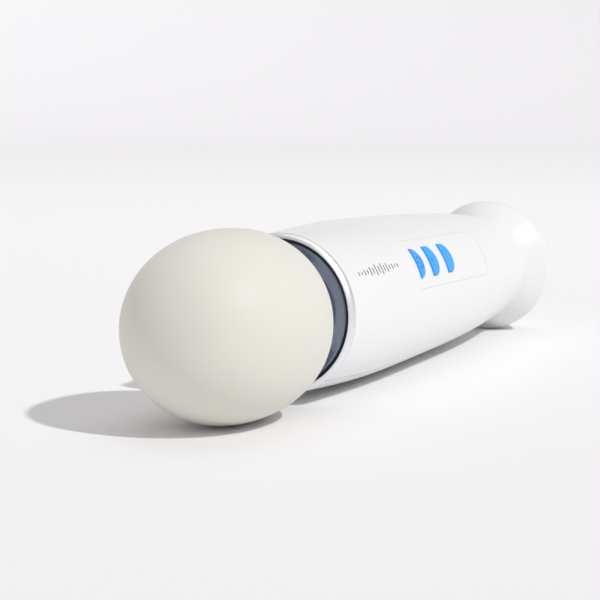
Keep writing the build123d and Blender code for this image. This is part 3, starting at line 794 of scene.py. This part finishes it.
def charge_inlet():
    """The charging jack, a black barrel with a round-edged bore."""
    front, floor, wall = FOOT_END - 0.25, FOOT_END - INLET_DEPTH, INLET_RADIUS
    barrel = [(INLET_STEP, wall), (front, wall), (front, INLET_BORE + 0.9), (front - 0.7, INLET_BORE),
              (floor, INLET_BORE)]
    back = [(floor, 0.0), (INLET_BACK, 0.0), (INLET_BACK, wall - 0.8), (INLET_STEP, wall - 0.8)]
    piece = lathe("inlet_jack", rounded(barrel, [0.3, 0.2, 0.2]) + back, steps=96)
    return finished(piece, "handle", "black_plastic", "charge_inlet")


# ---- panel and keys --------------------------------------------------------------------

def lifted(lift):
    """The handle's surface on the key side, raised by lift."""
    return lambda x, y: on_handle(x, y, lift)


def button_panel():
    """The slightly set-in pad, one patch round each key and a plain one towards the foot."""
    half, corner = PANEL_HALF_WIDTH - PANEL_GAP, PANEL_CORNER - PANEL_GAP
    cuts = [PANEL_FROM + PANEL_GAP, *PANEL_CUTS, PANEL_TO - PANEL_GAP]
    surface = lifted(-PANEL_SET_IN)
    patches = []
    for low, high, size in zip(cuts, cuts[1:], KEYS.values()):
        outer = oblong_sides(low, high, half, corner, (low == cuts[0], False))
        patches.append(holed_patch(outer, key_sides(*size, KEY_GAP), (26, 40), 10, surface))
    patches.append(full_patch(oblong_sides(*cuts[-2:], half, corner, (False, True)), (28, 40), surface))
    piece = sheet_object("key_pad", patches, PANEL_THICK, EDGE_ROUND)
    return finished(piece, "handle", "panel_white", "button_panel")


def key(name, size):
    """The cap of one key, which stands a little proud of the panel."""
    patch = full_patch(key_sides(*size, 0.0), (22, 34), lifted(KEY_PROUD))
    piece = sheet_object(name + "_key_cap", [patch], KEY_THICK, KEY_ROUND)
    return finished(piece, name + "_key", "key_blue", name + "_button")


def ribbon(path, width, lift, thick, closed=False):
    """A thin printed line that follows the handle's surface."""
    verts, count = [], len(path)
    for i, (x, y) in enumerate(path):
        before = path[(i - 1) % count] if closed or i else path[i]
        after = path[(i + 1) % count] if closed or i < count - 1 else path[i]
        run = Vector((after[0] - before[0], after[1] - before[1])).normalized()
        aside = Vector((-run.y, run.x)) * width / 2
        for side, height in ((1, lift), (-1, lift), (-1, lift - thick), (1, lift - thick)):
            verts.append(on_handle(x + side * aside.x, y + side * aside.y, height))
    faces = ring_faces(count, 4, closed)
    if not closed:
        faces += [(0, 1, 2, 3), tuple(4 * count - 4 + k for k in (3, 2, 1, 0))]
    return verts, faces


def key_ribbon(path, width, closed=False):
    """A printed line on top of a key."""
    return ribbon(path, width, KEY_PROUD + MARK_LIFT, KEY_MARK_THICK, closed)


def power_mark():
    """The plain on/off sign: an open ring and a short stroke."""
    x, radius, gap = POWER_SIGN_AT, POWER_SIGN_RADIUS, math.radians(POWER_SIGN_GAP)
    stroke_from, stroke_length = x - radius * 1.15, 1.9
    turns = [gap + (2 * math.pi - 2 * gap) * i / 40 for i in range(41)]
    ring = [(x - radius * math.cos(t), radius * math.sin(t)) for t in turns]
    stroke = [(stroke_from + stroke_length * i / 6, 0.0) for i in range(7)]
    lines = [key_ribbon(line, POWER_SIGN_LINE) for line in (ring, stroke)]
    return finished(solid_object("power_sign", lines), "power_key", "key_blue", material="mark_blue")


def mode_mark():
    """One small dot on the middle key, a little wider across the wand."""
    turns = [2 * math.pi * i / 24 for i in range(24)]
    dot = [(MODE_DOT_AT + MODE_DOT_RADIUS * math.cos(t), 1.2 * MODE_DOT_RADIUS * math.sin(t)) for t in turns]
    line = key_ribbon(dot, MODE_DOT_LINE, closed=True)
    return finished(solid_object("mode_dot", [line]), "mode_key", "key_blue", material="mark_blue")


def handle_mark():
    """A plain row of fine strokes, tall in the middle and short at the ends, in grey print."""
    strokes = []
    for i in range(STROKES):
        t = i / (STROKES - 1)
        x = STROKES_FROM + (STROKES_TO - STROKES_FROM) * t
        reach = STROKE_REACH * (0.35 + 0.65 * math.sin(math.pi * t) ** 2) * (1.0 if i % 2 == 0 else 0.6)
        path = [(x, STROKES_ACROSS - reach + 2 * reach * k / 8) for k in range(9)]
        strokes.append(ribbon(path, STROKE_WIDTH, MARK_LIFT, PRINT_THICK))
    piece = solid_object("printed_strokes", strokes)
    return finished(piece, "handle", "gloss_shell", material="mark_grey")


# ---- the room --------------------------------------------------------------------------

def backdrop_white():
    """Matt white that grows lighter with the distance from the wand."""
    s = Shader("backdrop_white", Specular_IOR_Level=0.0)
    away = s.node("ShaderNodeVectorMath")
    away.operation = "LENGTH"
    s.links.new(s.place(), away.inputs[0])
    share = s.spread(away.outputs["Value"], 0.3, 0.7, BACKDROP_NEAR, BACKDROP_FAR)
    s.colour(s.between(share, (0.932, 0.925, 0.937), (0.960, 0.952, 0.972)))
    s.roughness(s.spread(s.noise(30.0, 3.0), 0.45, 0.55))
    return s.material


def backdrop():
    """A round white studio: a flat floor that sweeps up into a slope on every side."""
    outline = [(FLOOR_RADIUS * share, 0.0) for share in (0.0, 0.25, 0.5, 0.75, 1.0)]
    for i in range(1, 17):
        turn = math.radians(BACKDROP_SLOPE) * i / 16
        outline.append((FLOOR_RADIUS + BACKDROP_BEND * math.sin(turn), BACKDROP_BEND * (1 - math.cos(turn))))
    bend_end, bend_height = outline[-1]
    outline.append((bend_end + SLOPE_LENGTH * math.cos(turn), bend_height + SLOPE_LENGTH * math.sin(turn)))
    steps = 96
    verts = []
    for r, z in outline:
        for k in range(steps):
            angle = 2 * math.pi * k / steps
            verts.append((r * math.cos(angle), r * math.sin(angle), z - BACKDROP_DROP))
    mesh = bpy.data.meshes.new("backdrop")
    mesh.from_pydata(verts, [], ring_faces(len(outline), steps))
    mesh.polygons.foreach_set("use_smooth", [True] * len(mesh.polygons))
    mesh.materials.append(backdrop_white())
    sheet = bpy.data.objects.new("backdrop", mesh)
    bpy.context.scene.collection.objects.link(sheet)


def from_sky(azimuth, elevation):
    """The direction to a place in the sky; azimuth 0 is +X and 90 is +Y."""
    a, e = math.radians(azimuth), math.radians(elevation)
    return math.cos(a) * math.cos(e), math.sin(a) * math.cos(e), math.sin(e)


def lamp(name, kind, strength, towards, tint, distance=0.0, **settings):
    """A lamp that stands in the given direction, at that distance from the wand, and faces it."""
    data = bpy.data.lights.new(name, kind)
    data.energy = strength
    data.color = tint
    for setting, value in settings.items():
        setattr(data, setting, value)
    light = bpy.data.objects.new(name, data)
    light.location = Vector(towards) * distance
    light.rotation_mode = "QUATERNION"
    light.rotation_quaternion = (-Vector(towards)).to_track_quat("-Z", "Y")
    bpy.context.scene.collection.objects.link(light)


def lights():
    """A soft white room, a sun from the key side and a large soft lamp overhead."""
    world = bpy.data.worlds.new("studio")
    bpy.context.scene.world = world
    world.use_nodes = True
    back = world.node_tree.nodes["Background"]
    back.inputs["Color"].default_value = (1.0, 0.965, 0.975, 1)
    back.inputs["Strength"].default_value = 0.40
    lamp("key", "SUN", 1.80, from_sky(SUN_AZIMUTH, SUN_ELEVATION), (0.985, 0.995, 0.98),
         angle=math.radians(SUN_WIDTH))
    lamp("overhead", "AREA", 5.0, from_sky(OVERHEAD_AZIMUTH, OVERHEAD_ELEVATION), (0.985, 1.0, 1.0),
         OVERHEAD_DISTANCE, size=OVERHEAD_SIZE)
    bpy.context.scene.view_settings.view_transform = "Standard"


def camera():
    """Where the photographer stood: low, in front of the head, towards the key side."""
    data = bpy.data.cameras.new("camera")
    data.sensor_width = CAMERA_SENSOR
    data.lens = CAMERA_LENS
    data.clip_start, data.clip_end = 0.01, 20
    seen = bpy.data.objects.new("camera", data)
    flat_along = Vector((ALONG.x, ALONG.y, 0)).normalized()
    flat_across = Vector((-flat_along.y, flat_along.x, 0))
    spot = Vector((HEAD_AT.x, HEAD_AT.y, CAMERA_HEIGHT * MM))
    seen.location = spot + (flat_along * CAMERA_ALONG + flat_across * CAMERA_ASIDE) * MM
    yaw, pitch = math.radians(CAMERA_YAW), math.radians(CAMERA_PITCH)
    look = flat_along * math.sin(yaw) * math.cos(pitch) + flat_across * math.cos(yaw) * math.cos(pitch)
    look.z = -math.sin(pitch)
    seen.rotation_mode = "QUATERNION"
    seen.rotation_quaternion = look.to_track_quat("-Z", "Y")
    bpy.context.scene.collection.objects.link(seen)
    bpy.context.scene.camera = seen


camera()
backdrop()
lights()
dress_cad_nodes()
head_cover()
neck_boot()
collar_ring()
collar_gasket()
collar_dish()
front_shell()
back_shell()
screw_wells()
base_cap()
charge_inlet()
button_panel()
for key_name, key_size in KEYS.items():
    key(key_name, key_size)
power_mark()
mode_mark()
handle_mark()
